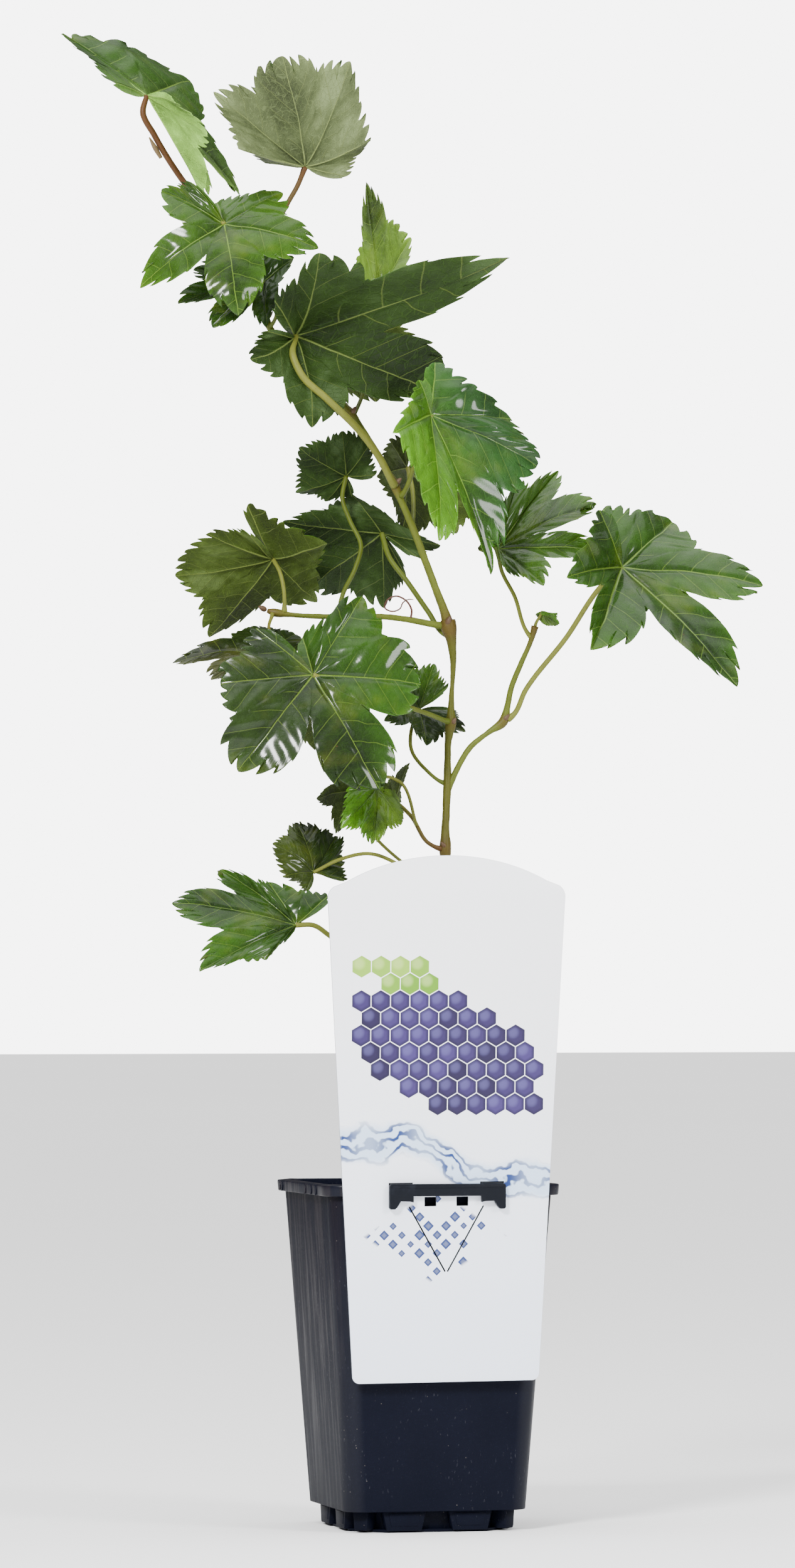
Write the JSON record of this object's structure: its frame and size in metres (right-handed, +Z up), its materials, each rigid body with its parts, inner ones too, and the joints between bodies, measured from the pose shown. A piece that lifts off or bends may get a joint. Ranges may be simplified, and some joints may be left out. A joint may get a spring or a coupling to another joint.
{
  "type": "potted grapevine",
  "caption": "Young grapevine with lobed toothed leaves on slender shoots, growing in a tall square nursery pot with a clipped-on care label.",
  "frame": {"origin": "centre of the pot's flat underside", "axes": "+Z up the plant, -Y out of the pot's front where the label hangs, +X to the right seen from the front"},
  "size_m": [0.3698, 0.167, 0.7948],
  "materials": {
    "pot_plastic": "black moulded nursery pot, satin with scuffs",
    "potting_soil": "dark crumbly peat mix",
    "label_plastic": "printed white plastic sheet, soft gloss",
    "holder_plastic": "black moulded clip, satin",
    "main_stem_bark": "young stem, brown bark at the foot turning green higher up",
    "green_stem": "green shoots with swollen nodes, satin",
    "deep_leaf": "deep green leaf, glossy above with pale veins, dull olive below",
    "fresh_leaf": "young yellow-green leaf, glossy above, dull below"
  },
  "bodies": {
    "root": {"pot": "pot_plastic", "soil": "potting_soil", "label": "label_plastic", "label_holder": "holder_plastic", "main_stem": "main_stem_bark", "upper_shoot": "green_stem", "left_shoot": "green_stem", "right_shoot": "green_stem", "leaf_top": "deep_leaf", "leaf_crown": "deep_leaf", "leaf_upper_left": "deep_leaf", "leaf_under_left": "deep_leaf", "leaf_wide": "deep_leaf", "leaf_bright": "fresh_leaf", "leaf_inner": "deep_leaf", "leaf_middle": "deep_leaf", "leaf_front_right": "fresh_leaf", "leaf_right": "deep_leaf", "leaf_far_right": "deep_leaf", "leaf_left": "fresh_leaf", "leaf_front_left": "deep_leaf", "leaf_far_left": "deep_leaf", "leaf_stem": "deep_leaf", "leaf_small_dark": "deep_leaf", "leaf_small_grey": "fresh_leaf", "leaf_crumpled": "deep_leaf", "leaf_lowest": "deep_leaf", "leaf_back_middle": "deep_leaf", "leaf_back_low": "deep_leaf", "leaf_back_high": "deep_leaf", "leaf_bud": "fresh_leaf"}
  },
  "joints": []
}
